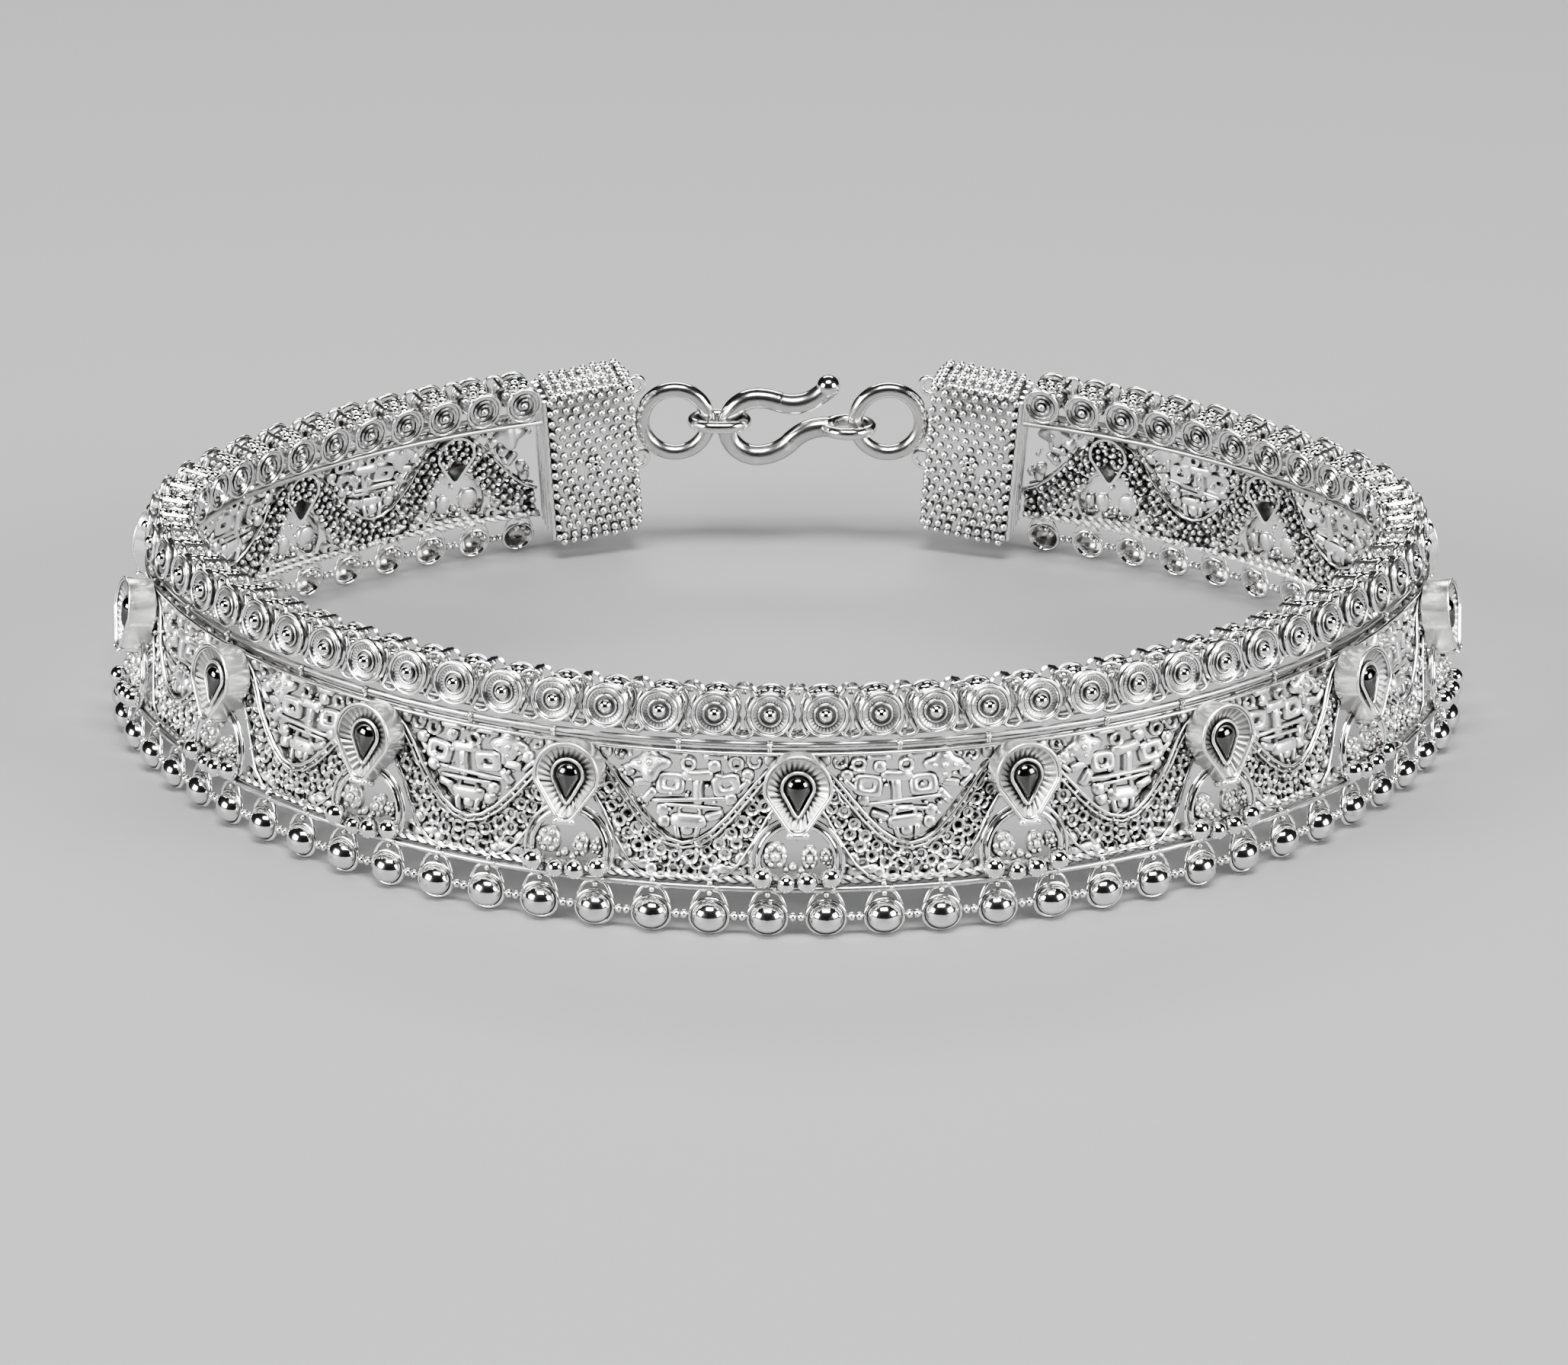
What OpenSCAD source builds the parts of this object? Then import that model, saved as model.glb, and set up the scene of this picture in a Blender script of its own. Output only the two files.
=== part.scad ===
// Filigree anklet: a closed, flared silver band with a hook clasp at the back.
// Millimetres, +Z up, standing on its bead edge. The front of the band looks
// along -Y and the clasp is at +Y. A place on the band is given by three
// values: u runs round it from the middle of the front, v climbs the wall from
// the bead centres, and out stands off the wall.

/* [Plan of the band] */
// Radius of the broad front curve, at the bead centres
front_r = 53; // [48:0.5:58]
// Length of half the front curve
front_len = 62; // [58:4:66]
// Radius of the tighter curves at both sides
side_r = 24; // [18:0.5:30]
// Length of each side curve
side_len = 24; // [20:4:28]
// Lean of the wall, inward at the top, in degrees
flare = 10; // [4:0.5:14]
// Slant of the band's two ends, in degrees
end_slant = 6; // [0:0.5:8]

/* [Repeat] */
// Modules round the band, each with one drop
modules = 15; // [15:2:15]
// Beads and rosettes in a module
per_module = 4; // [4:1:4]
// Distance from bead to bead
bead_pitch = 4; // [3.9:0.05:4.1]

/* [Bead edge] */
// Radius of a polished bead
bead_r = 1.3; // [1.1:0.05:1.4]
// Radius of the rim behind a bead
bead_rim_r = 1.48; // [1.4:0.02:1.6]
// Thickness of that rim
bead_rim_t = 0.3; // [0.2:0.05:0.5]
// Radius of the wire that the beads sit on
bead_wire_r = 0.28; // [0.2:0.02:0.35]

/* [Rosette edge] */
// Height of the rosettes above the beads, along the wall
rosette_v = 14; // [13.5:0.1:15]
// Radius of a rosette
rosette_r = 1.58; // [1.56:0.02:1.6]
// Depth of a rosette, from its outer to its inner face
rosette_d = 3.4; // [2.8:0.1:3.8]
// Middle of the rosettes, behind the wall's surface
rosette_out = -1.5; // [-2:0.1:-1]
// Outer radius of the link rings between the rosettes
link_ring_r = 1.85; // [1.7:0.05:1.9]
// Width of their wire
link_ring_w = 0.5; // [0.4:0.05:0.6]

/* [Rails] */
// Radius of the rail wires
rail_r = 0.22; // [0.18:0.01:0.24]
// Height of the outer rail under the rosettes
upper_rail_v = 11.83; // [11.8:0.01:11.85]
// Height of the rail under the rosettes' inner faces
inner_rail_v = 12.08; // [12.05:0.01:12.1]
// Height of the rail above the beads
lower_rail_v = 1.83; // [1.8:0.01:1.85]

/* [Filigree field] */
// Lower edge of the field
field_low = 2.15; // [2.15:0.02:2.3]
// Upper edge of the field
field_high = 11.47; // [11.2:0.01:11.5]
// Height of the field's edge strips
field_edge = 0.42; // [0.3:0.02:0.6]
// Back of the field, behind the wall's surface
field_back = -1.2; // [-1.6:0.05:-1]
// Front of the openwork
field_front = -0.3; // [-0.5:0.05:-0.25]
// Front of the raised border wires of the wave
wave_front = 0.2; // [0:0.05:0.4]
// Top of the wave's crest, above the bead centres
wave_crest = 11.25; // [11.15:0.05:11.3]
// Top of the wave in its trough
wave_trough = 5.0; // [4.5:0.1:6]
// Height of the wave band in its troughs and crests
wave_h = 2.6; // [2.6:0.1:2.8]
// How much higher it is on its slopes
wave_swell = 2.1; // [1:0.1:2.3]
// Width of the border wires and the lattice bars
bar_w = 0.45; // [0.35:0.05:0.6]

/* [Drop settings] */
// Height of the middle of the drop's round part
drop_v = 9.3; // [9:0.1:9.4]
// Radius of the drop's round part
drop_r = 2.25; // [2:0.05:2.4]
// Distance from that middle down to the tip
drop_tip = 3.3; // [3:0.1:3.6]
// How far the rim stands off the wall
drop_rim = 2.1; // [1.6:0.1:2.4]
// Back of the setting
drop_back = 0; // [0:0.02:0.06]
// Floor of the setting between its rim and the pear
drop_floor = 1.1; // [0.8:0.1:1.4]
// Radius of the polished pear in the middle
pear_r = 0.75; // [0.6:0.05:0.8]
// How far the middle of the pear stands off the wall
pear_out = 1.65; // [1.65:0.05:1.8]
// Height of the middle of the crescent wire under the drop
crescent_v = 3.9; // [3.8:0.05:4]
// Radius of that crescent
crescent_r = 2.9; // [2.7:0.05:3]
// Radius of the balls under the drop
ball_r = 0.85; // [0.83:0.01:0.88]

/* [End boxes] */
// Width along the band
box_w = 7.8; // [7:0.1:8.2]
// Height
box_h = 14.7; // [14:0.1:15.2]
// Thickness
box_t = 4; // [3.6:0.1:4.4]
// Corner radius
box_corner = 1.3; // [1:0.1:1.8]
// Grains down each edge
grain_rows = 13; // [11:1:14]
// Radius of a grain
grain_r = 0.45; // [0.35:0.05:0.5]

/* [Clasp] */
// Height of the clasp on the wall
clasp_v = 10; // [9.5:0.1:10.5]
// Radius of the big end rings, to the middle of the wire
ring_r = 2.75; // [2.7:0.05:2.85]
// Wire radius of the end rings
ring_wire = 0.65; // [0.55:0.05:0.7]
// Wire radius of the small link and of the hook's ring
link_wire = 0.5; // [0.4:0.05:0.5]
// Half width of the small link, to the middle of the wire
link_half_w = 1.7; // [1.6:0.05:1.9]
// Wire radius of the hook
hook_wire = 0.85; // [0.7:0.05:0.9]
// Radius of the hook's bend
hook_bend = 2.5; // [2.4:0.05:2.6]
// Clearance between interlocked pieces
play = 0.1; // [0.1:0.01:0.15]

/* [Hidden] */
$fn = 32;
SILVER = [0.84, 0.85, 0.86];
POLISHED = [0.92, 0.93, 0.94];

// Plan: five tangent arcs, front, two sides and two at the back
front_half = front_len / front_r * 180 / PI;
side_end = front_half + side_len / side_r * 180 / PI;
side_c = (front_r - side_r) * sin(front_half);
back_r = (front_r * sin(front_half)
    + side_r * (sin(side_end) - sin(front_half))) / sin(side_end);
half_loop = front_len + side_len + back_r * (180 - side_end) * PI / 180;
half_depth = (front_r * (1 - cos(front_half))
    + side_r * (cos(front_half) - cos(side_end))
    + back_r * (cos(side_end) + 1)) / 2;
band_half = modules * per_module * bead_pitch / 2;
module_w = per_module * bead_pitch;

// How far short of the band's ends its wires stop
wire_end = 0.3;

// Shift that puts the middle of the whole object's box at y = 0
centre_y = 1.055;
front_y = -half_depth + centre_y;
bead_z = bead_rim_r * cos(flare) + bead_rim_t / 2 * sin(flare);

// The three arc centres of the right half, as [x, y, radius, from, to]
front_arc = [0, front_y + front_r, front_r, 0, front_half];
side_arc = [side_c, front_y + front_r - (front_r - side_r) * cos(front_half),
    side_r, front_half, side_end];
back_arc = [0, front_y + 2 * half_depth - back_r, back_r, side_end, 180];

// Direction angle of the band at a distance s from the middle of the front
function turn(s) = s < 0 ? -turn(-s)
    : s < front_len ? s / front_r * 180 / PI
    : s < front_len + side_len
        ? front_half + (s - front_len) / side_r * 180 / PI
    : side_end + (s - front_len - side_len) / back_r * 180 / PI;
function arc_at(t) = abs(t) <= front_half ? front_arc
    : abs(t) <= side_end ? side_arc : back_arc;
function plan(t) = let (a = arc_at(t)) [
    (t < 0 ? -a[0] : a[0]) + a[2] * sin(t), a[1] - a[2] * cos(t)];
// The slanted ends draw the band in a little as it climbs
function along(u, v) = u * (1 - v * tan(end_slant) / band_half);
function heading(u, v) = turn(along(u, v));
function two(i) = str(i < 10 ? "0" : "", i);

// Puts a piece on the wall: its +X runs round the band, its +Z climbs the
// wall and its -Y points out of it
module on_wall(u, v, out = 0) {
    t = heading(u, v);
    p = plan(t);
    translate([p[0], p[1], bead_z]) rotate([0, 0, t]) rotate([-flare, 0, 0])
        translate([0, -out, v]) children();
}

// The same place as a point
function wall_point(u, v, out) = let (
    t = heading(u, v), p = plan(t), inset = out * cos(flare) - v * sin(flare))
    [p[0] + inset * sin(t), p[1] - inset * cos(t),
        bead_z + v * cos(flare) + out * sin(flare)];

// Turns a profile or a disc drawn on XY to face out of the wall
module facing() { rotate([90, 0, 0]) children(); }

// A round wire all along the band, with a ball of solder where its arcs meet
module wire(v, out, r, solder = 0) {
    z = bead_z + v * cos(flare) + out * sin(flare);
    inset = out * cos(flare) - v * sin(flare);
    last = heading(band_half - wire_end, v);
    translate([front_arc[0], front_arc[1], z])
        rotate_extrude(angle = 2 * front_half, start = -90 - front_half)
            translate([front_r + inset, 0]) circle(r = r);
    for (side = [0, 1]) mirror([side, 0, 0]) {
        for (a = [side_arc, back_arc])
            translate([a[0], a[1], z])
                rotate_extrude(angle = min(a[4], last) - a[3], start = a[3] - 90)
                    translate([a[2] + inset, 0]) circle(r = r);
        if (solder > 0) for (t = [front_half, side_end])
            translate([plan(t)[0] + inset * sin(t), plan(t)[1] - inset * cos(t), z])
                sphere(r = solder);
    }
}

// A rod with flat sides through a list of sections, each with the same number
// of points
module rod(sections) {
    n = len(sections);
    m = len(sections[0]);
    sides = [for (i = [0:n - 2], k = [0:m - 1]) let (
        a = m * i + k, b = m * i + (k + 1) % m) each [[a, a + m, b], [b, a + m, b + m]]];
    polyhedron(points = [for (q = sections) each q],
        faces = concat([[for (k = [0:m - 1]) k]], sides,
            [[for (k = [m - 1:-1:0]) m * (n - 1) + k]]));
}

// Rosette edge: double-faced rosettes with a ball in each face, joined by rings
module rosette() {
    difference() {
        facing() cylinder(r = rosette_r, h = rosette_d, center = true);
        for (side = [-1, 1]) translate([0, side * rosette_d / 2, 0]) facing()
            cylinder(r = rosette_r - 0.27, h = 0.5, center = true);
    }
    for (side = [-1, 1]) translate([0, side * (rosette_d / 2 - 0.2), 0])
        sphere(r = 0.5);
}

module link_ring() {
    facing() difference() {
        cylinder(r = link_ring_r, h = 0.5, center = true);
        cylinder(r = link_ring_r - link_ring_w, h = 1, center = true);
    }
}

module rosette_border() {
    n = modules * per_module;
    color(SILVER) {
        for (i = [0:n - 1])
            on_wall((i + 0.5) * bead_pitch - band_half, rosette_v, rosette_out)
                rosette();
        for (i = [1:n - 1])
            on_wall(i * bead_pitch - band_half, rosette_v, rosette_out + 0.9)
                link_ring();
    }
}

// Rails: one under each face of the rosettes and one above the beads
module upper_rail() {
    color(SILVER) wire(upper_rail_v, rosette_out + 0.9, rail_r, rail_r + 0.03);
}

module inner_rail() {
    color(SILVER) wire(inner_rail_v, rosette_out - rosette_d / 2 + 0.4, rail_r, rail_r + 0.03);
}

module lower_rail() {
    color(SILVER) wire(lower_rail_v, 0, rail_r, rail_r + 0.03);
}

// Bead edge: domes open at the back, on a wire and under a second wire
module bead() {
    difference() {
        union() {
            sphere(r = bead_r);
            facing() cylinder(r = bead_rim_r, h = bead_rim_t, center = true);
        }
        translate([0, 1.3, 0]) sphere(r = 1.25);
        translate([-2, 0.7, -2]) cube(4);
    }
}

module bead_border() {
    n = modules * per_module;
    color(POLISHED) {
        for (i = [0:n - 1])
            on_wall((i + 0.5) * bead_pitch - band_half, 0) bead();
        wire(0, 0.3, bead_wire_r);
    }
}

// Filigree field: one pierced piece, a wave band with raised borders that
// crests behind each drop, lattice above its troughs and struts under its crests
function wave_top(u) = wave_trough
    + (wave_crest - wave_trough) * (1 - cos(360 * (u + band_half) / module_w)) / 2;

function wave_low(u) = wave_top(u) - wave_h
    - wave_swell * pow(sin(360 * (u + band_half) / module_w), 2);

// The wave's borders stand proud, but lie flush behind each drop
function border(u) = let (x = (u + band_half) % module_w - module_w / 2)
    abs(x) < module_w / 6 ? field_front : wave_front;

// The points of a section at u, square or with raised borders
function section(u, low, high, back, front) = [
    wall_point(u, low, back), wall_point(u, high, back),
    wall_point(u, high, front), wall_point(u, low, front)];
function wave_section(u) = let (
    high = wave_top(u), low = wave_low(u), raised = border(u)) [
    wall_point(u, low, field_back), wall_point(u, high, field_back),
    wall_point(u, high, raised), wall_point(u, high - bar_w, raised),
    wall_point(u, high - bar_w, field_front), wall_point(u, low + bar_w, field_front),
    wall_point(u, low + bar_w, raised), wall_point(u, low, raised)];

// An upright post or a level bar of the lattice
module bar(u0, u1, low, high) {
    hull() rod([for (u = [u0, u1])
        section(u, low, high, field_back + 0.1, field_front - 0.1)]);
}

module filigree_field() {
    color(SILVER) {
        rod([for (i = [0:8 * modules]) wave_section(i * module_w / 8 - band_half)]);
        for (low = [field_low, field_high - field_edge])
            rod([for (i = [0:4 * modules]) section(i * module_w / 4 - band_half,
                low, low + field_edge, field_back - 0.08, field_front + 0.2)]);
        for (m = [0:modules - 1]) let (c = (m + 0.5) * module_w - band_half) {
            // strut under the crest
            bar(c - bar_w / 2, c + bar_w / 2, field_low + 0.2, wave_crest - wave_h + 0.2);
            // lattice above the trough
            for (x = [-5.2, 5.2])
                bar(c + x - bar_w / 2, c + x + bar_w / 2, wave_top(c + x) - 0.5,
                    field_high - 0.2);
            if (m > 0) {
                bar(c - 8 - bar_w / 2, c - 8 + bar_w / 2, wave_trough - 0.5,
                    field_high - 0.2);
                bar(c - 10.9, c - 5.1, 8, 8 + bar_w);
            }
        }
    }
}

// Drop settings: a walled teardrop with its tip down, a crescent and four balls
module drop_shape(r, tip) {
    a = acos(r / tip);
    x = 0.9 * r * sin(a);
    y = -0.9 * r * cos(a);
    circle(r = r);
    polygon([[x, y], [0, -tip], [-x, y]]);
}

module drop_prism(r, tip, from, to) {
    translate([0, -from, 0]) facing() linear_extrude(to - from) drop_shape(r, tip);
}

module drop_setting(i) {
    color(SILVER) on_wall((i - 0.5) * module_w - band_half, drop_v) {
        difference() {
            union() {
                difference() {
                    drop_prism(drop_r, drop_tip, drop_back, drop_rim);
                    drop_prism(drop_r - 0.35, drop_tip - 0.5, drop_floor, drop_rim + 1);
                }
                drop_prism(pear_r + 0.35, drop_tip - 0.8, drop_floor - 0.1, drop_rim - 0.1);
            }
            drop_prism(pear_r + play, drop_tip - 1.2, pear_out - pear_r - play, drop_rim + 1);
        }
        // tip bar
        translate([-0.75, -1.8, 0.15 - drop_tip]) rotate([0, 90, 0])
            cylinder(r = 0.36, h = 1.5);
        // crescent, open at the bottom, and the balls between its ends
        translate([0, 0, crescent_v - drop_v]) {
            translate([0, -0.42, 0]) facing()
                rotate_extrude(angle = 220, start = -20)
                    translate([crescent_r, 0]) circle(r = 0.34);
            for (p = [[-2.45, -0.8, -1], [-0.82, -0.9, -1.25],
                [0.82, -0.9, -1.25], [2.45, -0.8, -1]])
                translate(p) rotate(-90) sphere(r = ball_r);
        }
    }
}

// Polished pear: a round body that tapers to its lower tip, turned about Z
module drop_pear(i) {
    tip = drop_tip - 1.7;
    a = acos(pear_r / tip);
    color(POLISHED)
        on_wall((i - 0.5) * module_w - band_half, drop_v, pear_out)
            rotate_extrude() polygon(concat([[0, -tip]],
                [for (k = [0:9]) let (t = a - 90 + k * (180 - a) / 9)
                    k < 9 ? [pear_r * cos(t), pear_r * sin(t)] : [0, pear_r]]));
}

// End boxes: rounded boxes with rows of grains, and loops for the end rings
box_v = 8;
box_u = band_half + 0.5 + box_w / 2;

module at_box(side) {
    on_wall(side * box_u, box_v, rosette_out) rotate([0, -side * end_slant, 0])
        children();
}

module box_outline() {
    hull() for (x = [-1, 1], y = [-1, 1])
        translate([x * (box_w / 2 - box_corner), y * (box_h / 2 - box_corner)])
            circle(r = box_corner);
}

module end_box(side) {
    color(SILVER) {
        at_box(side) {
            facing() translate([0, 0, -box_t / 2]) linear_extrude(box_t) box_outline();
            for (face = [-1, 1], edge = [-1, 1], k = [0:grain_rows - 1])
                translate([edge * (box_w / 2 - grain_r), face * box_t / 2,
                    (k - (grain_rows - 1) / 2) * (box_h - 2 * box_corner) / (grain_rows - 1)])
                    sphere(r = grain_r);
            for (z = [-3.5, 3.5])
                translate([side * (box_w / 2 + 0.5), 0, clasp_v - box_v + z]) facing()
                    rotate_extrude() translate([0.7, 0]) circle(r = 0.3);
        }
        translate([side * clasp_x, clasp_y, clasp_z])
            rotate_extrude() translate([ring_wire + 0.5, 0]) circle(r = 0.35);
    }
}

// Clasp, in the upright plane through both boxes' ends
box_t_angle = heading(box_u, box_v);
box_p = plan(box_t_angle);
box_reach = box_w / 2 + 0.85;
clasp_local = [box_reach * cos(end_slant) - (clasp_v - box_v) * sin(end_slant),
    -rosette_out, box_v + (clasp_v - box_v) * cos(end_slant) + box_reach * sin(end_slant)];
clasp_leaned = [clasp_local[0],
    clasp_local[1] * cos(flare) + clasp_local[2] * sin(flare),
    clasp_local[2] * cos(flare) - clasp_local[1] * sin(flare)];
clasp_x = box_p[0] + clasp_leaned[0] * cos(box_t_angle) - clasp_leaned[1] * sin(box_t_angle);
clasp_y = box_p[1] + clasp_leaned[0] * sin(box_t_angle) + clasp_leaned[1] * cos(box_t_angle);
clasp_z = bead_z + clasp_leaned[2];

// Places of the chain's pieces, from the end rings inward
ring_x = clasp_x - ring_r;
ring_in = clasp_x - 2 * ring_r;
link_far = ring_in + ring_wire + play + link_wire;
hook_left = ring_in - ring_wire - play - hook_wire;
link_near = hook_left - hook_wire - 2 * play - link_wire;
hook_ring_r = 1.9;
hook_ring_x = ring_in + ring_wire + 1.5 * play + link_wire - hook_ring_r;

module clasp_at() { translate([0, clasp_y, clasp_z]) children(); }

module end_ring(side) {
    color(POLISHED) clasp_at() translate([side * ring_x, 0, 0]) facing()
        rotate_extrude() translate([ring_r, 0]) circle(r = ring_wire);
}

// Small oval link that lies flat, through the left ring and round the hook
module clasp_link() {
    straight = (link_far - link_near) / 2 - link_half_w;
    color(POLISHED) clasp_at()
        translate([-(link_far + link_near) / 2, 0, 0]) {
            for (end = [-1, 1]) translate([end * straight, 0, 0])
                rotate_extrude(angle = 180, start = -90 * end)
                    translate([link_half_w, 0]) circle(r = link_wire);
            for (y = [-1, 1]) translate([-straight, y * link_half_w, 0])
                rotate([0, 90, 0]) cylinder(r = link_wire, h = 2 * straight);
        }
}

// Hook: arcs of round wire in one plane, each as [turn, radius], left positive
arm_end = [hook_ring_x - hook_ring_r, -0.5];
bend_c = [hook_bend - hook_left, -0.5];
arm_rise = arm_end[1] - (bend_c[1] - hook_bend);
arm_run = arm_end[0] - bend_c[0];
arm_turn = 2 * atan(arm_rise / arm_run);
arm_r = arm_run / 2 / sin(arm_turn);
upper_arm = [[-20, 5], [75, 3.6]];
lower_arm = [[arm_turn, arm_r], [-arm_turn, arm_r]];

// A ball whose poles lie along the wire
module knob(r) { rotate([0, 90, 0]) rotate(60) sphere(r = r); }

// Draws the arcs one after the other, with a ball where each starts, then its
// children at the end
module bent(arcs, i = 0) {
    if (i < len(arcs)) {
        a = arcs[i][0];
        r = arcs[i][1];
        s = sign(a);
        knob(hook_wire + 0.02);
        translate([0, s * r]) {
            rotate_extrude(angle = abs(a), start = s > 0 ? -90 : 90 - abs(a))
                translate([r, 0]) circle(r = hook_wire);
            rotate([0, 0, a]) translate([0, -s * r]) bent(arcs, i + 1) children();
        }
    } else children();
}

module clasp_hook() {
    color(POLISHED) clasp_at() {
        facing() {
            translate(bend_c) rotate_extrude(angle = 180, start = 90)
                translate([hook_bend, 0]) circle(r = hook_wire);
            translate([bend_c[0], bend_c[1] + hook_bend])
                bent(upper_arm) knob(1);
            translate([bend_c[0], bend_c[1] - hook_bend])
                bent(lower_arm) knob(hook_wire + 0.02);
        }
        translate([hook_ring_x, 0, arm_end[1]])
            rotate_extrude() translate([hook_ring_r, 0]) circle(r = link_wire);
    }
}

rosette_border();
upper_rail();
inner_rail();
filigree_field();
lower_rail();
bead_border();
for (i = [1:modules]) {
    drop_setting(i);
    drop_pear(i);
}
end_box(-1);  // end_box_left
end_box(1);  // end_box_right
end_ring(-1);  // end_ring_left
end_ring(1);  // end_ring_right
clasp_link();
clasp_hook();
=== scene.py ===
from math import cos, pi, radians, sin, tan

import bpy
import numpy as np
from mathutils import Matrix, Vector


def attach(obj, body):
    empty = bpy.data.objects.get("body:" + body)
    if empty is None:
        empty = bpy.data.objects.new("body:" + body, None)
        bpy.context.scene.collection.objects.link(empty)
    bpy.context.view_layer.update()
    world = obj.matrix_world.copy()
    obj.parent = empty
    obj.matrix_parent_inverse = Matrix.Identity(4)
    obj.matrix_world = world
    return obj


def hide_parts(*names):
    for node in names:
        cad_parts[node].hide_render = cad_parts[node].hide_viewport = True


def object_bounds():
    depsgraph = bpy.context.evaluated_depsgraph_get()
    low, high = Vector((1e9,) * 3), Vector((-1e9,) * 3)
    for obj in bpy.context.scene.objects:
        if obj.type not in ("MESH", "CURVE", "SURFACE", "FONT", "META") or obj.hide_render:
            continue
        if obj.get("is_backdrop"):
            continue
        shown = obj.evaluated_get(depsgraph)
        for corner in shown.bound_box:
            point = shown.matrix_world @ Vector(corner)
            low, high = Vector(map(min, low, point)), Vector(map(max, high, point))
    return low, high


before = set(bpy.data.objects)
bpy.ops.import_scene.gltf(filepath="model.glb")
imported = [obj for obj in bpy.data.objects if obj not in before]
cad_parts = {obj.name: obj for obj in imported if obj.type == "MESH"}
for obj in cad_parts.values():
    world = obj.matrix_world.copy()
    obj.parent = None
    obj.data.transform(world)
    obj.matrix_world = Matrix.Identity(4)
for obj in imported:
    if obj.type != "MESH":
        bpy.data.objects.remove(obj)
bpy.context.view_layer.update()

# Bead edge
# Sixty domes of polished silver sheet, open at the back, each with a wire
# soldered round its rim. Two grains join each to the next, and a bent wire
# hangs it from the lower rail.

# Shapes are drawn in millimetres: along the band, up its wall and out of it.
MM = 0.001
FRONT_R = 53
FRONT_LEN = 62
SIDE_R = 24
SIDE_LEN = 24
FLARE = radians(10)
END_SLANT = radians(6)
MODULES = 15
MODULE_W = 16
PITCH = 4
BEADS = MODULES * MODULE_W // PITCH
BAND_HALF = MODULES * MODULE_W / 2
CENTRE_Y = 1.055
BEAD_RIM_R = 1.48
BEAD_RIM_WIRE = 0.15

FRONT_HALF = FRONT_LEN / FRONT_R
SIDE_END = FRONT_HALF + SIDE_LEN / SIDE_R
BACK_R = (FRONT_R * sin(FRONT_HALF) + SIDE_R * (sin(SIDE_END) - sin(FRONT_HALF))) / sin(SIDE_END)
HALF_DEPTH = (FRONT_R * (1 - cos(FRONT_HALF)) + SIDE_R * (cos(FRONT_HALF) - cos(SIDE_END))
              + BACK_R * (cos(SIDE_END) + 1)) / 2
FRONT_Y = CENTRE_Y - HALF_DEPTH
SIDE_C = (FRONT_R - SIDE_R) * sin(FRONT_HALF)
BEAD_Z = BEAD_RIM_R * cos(FLARE) + BEAD_RIM_WIRE * sin(FLARE)


def heading(u, v):
    """The band's direction at u, drawn in a little as the wall climbs."""
    s = u * (1 - v * tan(END_SLANT) / BAND_HALF)
    a = np.abs(s)
    front = a / FRONT_R
    side = FRONT_HALF + (a - FRONT_LEN) / SIDE_R
    back = SIDE_END + (a - FRONT_LEN - SIDE_LEN) / BACK_R
    return np.sign(s) * np.where(a < FRONT_LEN, front, np.where(a < FRONT_LEN + SIDE_LEN, side, back))


def plan(t):
    """The bead centres' line in plan: front, side and back arcs."""
    a = np.abs(t)
    front, side = a <= FRONT_HALF, a <= SIDE_END
    r = np.where(front, FRONT_R, np.where(side, SIDE_R, BACK_R))
    x = np.where(front | ~side, 0.0, SIDE_C) * np.sign(t)
    side_y = FRONT_Y + FRONT_R - (FRONT_R - SIDE_R) * cos(FRONT_HALF)
    y = np.where(front, FRONT_Y + FRONT_R, np.where(side, side_y, FRONT_Y + 2 * HALF_DEPTH - BACK_R))
    return x + r * np.sin(t), y - r * np.cos(t)


def bent(shape):
    """Bends a shape drawn flat, in u, v and out, along the wall."""
    u, v, out = shape[0].T
    t = heading(u, v)
    x, y = plan(t)
    inset = out * cos(FLARE) - v * sin(FLARE)
    z = BEAD_Z + v * cos(FLARE) + out * sin(FLARE)
    return np.stack([x + inset * np.sin(t), y - inset * np.cos(t), z], -1), shape[1]


def standing(shape, u, v, out, spin=0.0, size=1.0):
    """Stands stiff copies of a shape on the wall, one at each place."""
    u, v, out, spin, size = (np.ravel(a) for a in np.broadcast_arrays(u, v, out, spin, size))
    t = heading(u, v)
    x, y = plan(t)
    zero = np.zeros_like(t)
    along = np.stack([np.cos(t), np.sin(t), zero], -1)
    up = np.stack([-np.sin(t) * sin(FLARE), np.cos(t) * sin(FLARE), zero + cos(FLARE)], -1)
    outward = np.cross(along, up)
    origin = np.stack([x, y, zero + BEAD_Z], -1) + v[:, None] * up + out[:, None] * outward
    c = np.cos(spin)[:, None] * size[:, None]
    s = np.sin(spin)[:, None] * size[:, None]
    axes = np.stack([c * along + s * up, c * up - s * along, size[:, None] * outward], 1)
    points = origin[:, None, :] + shape[0] @ axes
    quads = shape[1][None] + len(shape[0]) * np.arange(len(t))[:, None, None]
    return points.reshape(-1, 3), quads.reshape(-1, 4)


def joined(*shapes):
    counts = np.cumsum([0] + [len(points) for points, quads in shapes])
    points = np.concatenate([points for points, quads in shapes])
    return points, np.concatenate([quads + n for n, (_, quads) in zip(counts, shapes)])


def moved(shape, along=0.0, up=0.0, out=0.0):
    return shape[0] + np.array([along, up, out]), shape[1]


def stretched(shape, along=1.0, up=1.0, out=1.0):
    """Scales a shape, with its faces kept outward where it is mirrored."""
    quads = shape[1] if along * up * out > 0 else shape[1][:, ::-1]
    return shape[0] * np.array([along, up, out]), quads


def leaned(shape, angle):
    """Leans a shape back or forward about the line along the band."""
    c, s = cos(angle), sin(angle)
    return shape[0] @ np.array([[1, 0, 0], [0, c, s], [0, -s, c]]), shape[1]


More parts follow.
